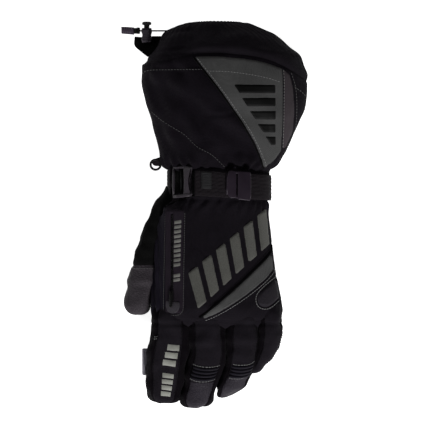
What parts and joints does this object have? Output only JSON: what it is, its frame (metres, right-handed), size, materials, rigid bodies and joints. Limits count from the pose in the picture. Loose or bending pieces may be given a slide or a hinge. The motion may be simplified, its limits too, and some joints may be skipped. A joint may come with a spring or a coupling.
{
  "type": "insulated gauntlet glove",
  "caption": "Left-hand insulated gauntlet glove with a long gathered cuff, strapped wrist, zipped back pocket, jointed padded fingers and a leather-capped thumb.",
  "frame": {"origin": "on the palm patch's flat face, under the middle of the palm, where the glove rests", "axes": "+Y from the fingertips to the cuff's mouth, +X to the little-finger side, +Z out of the back of the hand"},
  "size_m": [0.185, 0.3842, 0.0782],
  "materials": {
    "main_textile": "coarse black woven nylon",
    "side_textile": "smooth navy-black stretch fabric",
    "grey_textile": "grey woven nylon",
    "strip_textile": "warm dark grey woven fabric",
    "fleece": "black brushed fleece",
    "leather": "dark grey goat leather",
    "embroidery": "raised olive grey thread",
    "emblem_print": "raised black print",
    "lining": "soft knitted lining",
    "webbing": "ribbed nylon webbing",
    "tab_textile": "grey satin label cloth",
    "hardware": "moulded acetal",
    "zip_plastic": "black coil zip",
    "zip_metal": "black painted zinc",
    "spring_steel": "spring wire",
    "cord": "round elastic cord",
    "wire": "black coated wire"
  },
  "bodies": {
    "hand": {"hand_back_panel": "main_textile", "hand_palm_panel": "leather", "thumb_side_wall": "side_textile", "little_side_wall": "side_textile", "hand_insulated_lining": "lining", "pocket_bag": "lining", "palm_grip_patch": "leather", "accent_stripe": "grey_textile", "knuckle_patch": "leather", "back_embroidery": "embroidery", "pocket_welt": "main_textile", "zip_tape": "zip_plastic", "zip_end_patch": "leather", "thumb_gusset": "fleece", "wrist_strap": "webbing", "buckle_anchor_webbing": "webbing", "strap_end_tab": "tab_textile"},
    "index_base": {"index_finger_base": "main_textile", "index_finger_base_lining": "lining"},
    "index_tip": {"index_finger_tip": "main_textile", "index_finger_tip_lining": "lining", "index_label_tag": "tab_textile"},
    "middle_base": {"middle_finger_base": "main_textile", "middle_finger_base_lining": "lining"},
    "middle_tip": {"middle_finger_tip": "main_textile", "middle_finger_tip_lining": "lining", "middle_flex_ribs": "main_textile"},
    "ring_base": {"ring_finger_base": "main_textile", "ring_finger_base_lining": "lining"},
    "ring_tip": {"ring_finger_tip": "main_textile", "ring_finger_tip_lining": "lining", "ring_flex_ribs": "main_textile"},
    "little_base": {"little_finger_base": "main_textile", "little_finger_base_lining": "lining"},
    "little_tip": {"little_finger_tip": "main_textile", "little_finger_tip_lining": "lining"},
    "thumb_base": {"thumb_fleece_panel": "fleece", "thumb_base_lining": "lining"},
    "thumb_tip": {"thumb_leather_cap": "leather", "thumb_tip_lining": "lining"},
    "gauntlet": {"gauntlet_back_panel": "main_textile", "gauntlet_palm_panel": "main_textile", "gauntlet_lining": "lining", "gauntlet_accent_panel": "grey_textile", "gauntlet_side_strip": "strip_textile", "gauntlet_emblem": "emblem_print", "gauntlet_hem": "main_textile", "hem_drawcord": "cord", "cord_lock_body": "hardware", "cord_lock_spring": "spring_steel", "cinch_anchor_webbing": "webbing", "cord_end_link": "hardware", "hang_loop": "webbing"},
    "cord_plunger": {"cord_lock_plunger": "hardware"},
    "pull_tab": {"cinch_pull_tab": "tab_textile"},
    "ladder_lock": {"ladder_lock": "hardware"},
    "slider_buckle": {"slider_buckle": "hardware"},
    "zip_slider": {"zip_slider": "zip_metal"},
    "zip_pull": {"zip_pull": "zip_metal"},
    "hang_ring": {"hang_ring": "wire"}
  },
  "joints": [
    {"name": "wrist_flex", "type": "hinge", "parent": "hand", "child": "gauntlet", "pos_m": [0.0045, 0.106, 0.027], "axis": [1, 0, 0], "range_deg": [-20, 20], "stiffness_Nm_per_rad": 4},
    {"name": "index_knuckle", "type": "hinge", "parent": "hand", "child": "index_base", "pos_m": [-0.0444, -0.048, 0.027], "axis": [1, 0, 0], "range_deg": [0, 70], "stiffness_Nm_per_rad": 0.3},
    {"name": "index_middle", "type": "hinge", "parent": "index_base", "child": "index_tip", "pos_m": [-0.0444, -0.086, 0.0245], "axis": [1, 0, 0], "range_deg": [0, 75], "stiffness_Nm_per_rad": 0.2},
    {"name": "middle_knuckle", "type": "hinge", "parent": "hand", "child": "middle_base", "pos_m": [-0.0076, -0.048, 0.027], "axis": [1, 0, 0], "range_deg": [0, 70], "stiffness_Nm_per_rad": 0.3},
    {"name": "middle_middle", "type": "hinge", "parent": "middle_base", "child": "middle_tip", "pos_m": [-0.0076, -0.088, 0.0245], "axis": [1, 0, 0], "range_deg": [0, 75], "stiffness_Nm_per_rad": 0.2},
    {"name": "ring_knuckle", "type": "hinge", "parent": "hand", "child": "ring_base", "pos_m": [0.0272, -0.048, 0.027], "axis": [1, 0, 0], "range_deg": [0, 70], "stiffness_Nm_per_rad": 0.3},
    {"name": "ring_middle", "type": "hinge", "parent": "ring_base", "child": "ring_tip", "pos_m": [0.0272, -0.084, 0.0245], "axis": [1, 0, 0], "range_deg": [0, 75], "stiffness_Nm_per_rad": 0.2},
    {"name": "little_knuckle", "type": "hinge", "parent": "hand", "child": "little_base", "pos_m": [0.0548, -0.048, 0.027], "axis": [1, 0, 0], "range_deg": [0, 70], "stiffness_Nm_per_rad": 0.3},
    {"name": "little_middle", "type": "hinge", "parent": "little_base", "child": "little_tip", "pos_m": [0.0548, -0.076, 0.024], "axis": [1, 0, 0], "range_deg": [0, 75], "stiffness_Nm_per_rad": 0.2},
    {"name": "thumb_knuckle", "type": "hinge", "parent": "hand", "child": "thumb_base", "pos_m": [-0.0668, 0.036, 0.018], "axis": [1, 0, 0], "range_deg": [0, 40], "stiffness_Nm_per_rad": 0.3},
    {"name": "thumb_middle", "type": "hinge", "parent": "thumb_base", "child": "thumb_tip", "pos_m": [-0.0706, 0.004, 0.016], "axis": [1, 0, 0], "range_deg": [0, 50], "stiffness_Nm_per_rad": 0.2},
    {"name": "cord_lock_press", "type": "slide", "parent": "gauntlet", "child": "cord_plunger", "axis": [0, -1, 0], "range_m": [0, 0.003], "stiffness_N_per_m": 400, "deforming": ["cord_lock_spring"]},
    {"name": "pull_tab_swing", "type": "hinge", "parent": "gauntlet", "child": "pull_tab", "pos_m": [-0.08, 0.2385, 0.038], "axis": [0, 0, 1], "range_deg": [-50, 50]},
    {"name": "ladder_lock_tilt", "type": "hinge", "parent": "hand", "child": "ladder_lock", "pos_m": [-0.0411, 0.086, 0.04348], "axis": [0, -1, 0], "range_deg": [0, 35]},
    {"name": "slider_buckle_slide", "type": "slide", "parent": "hand", "child": "slider_buckle", "axis": [0.981, 0, -0.1942], "range_m": [-0.008, 0.008]},
    {"name": "zip_slide", "type": "slide", "parent": "hand", "child": "zip_slider", "axis": [0, 1, 0], "range_m": [0, 0.074]},
    {"name": "zip_pull_flip", "type": "hinge", "parent": "zip_slider", "child": "zip_pull", "pos_m": [-0.0441, -0.0225, 0.04775], "axis": [-0.8988, 0, -0.4384], "range_deg": [0, 150]},
    {"name": "hang_ring_swing", "type": "hinge", "parent": "gauntlet", "child": "hang_ring", "pos_m": [-0.0595, 0.108, 0.027], "axis": [0, 0, -1], "range_deg": [0, 60]}
  ]
}
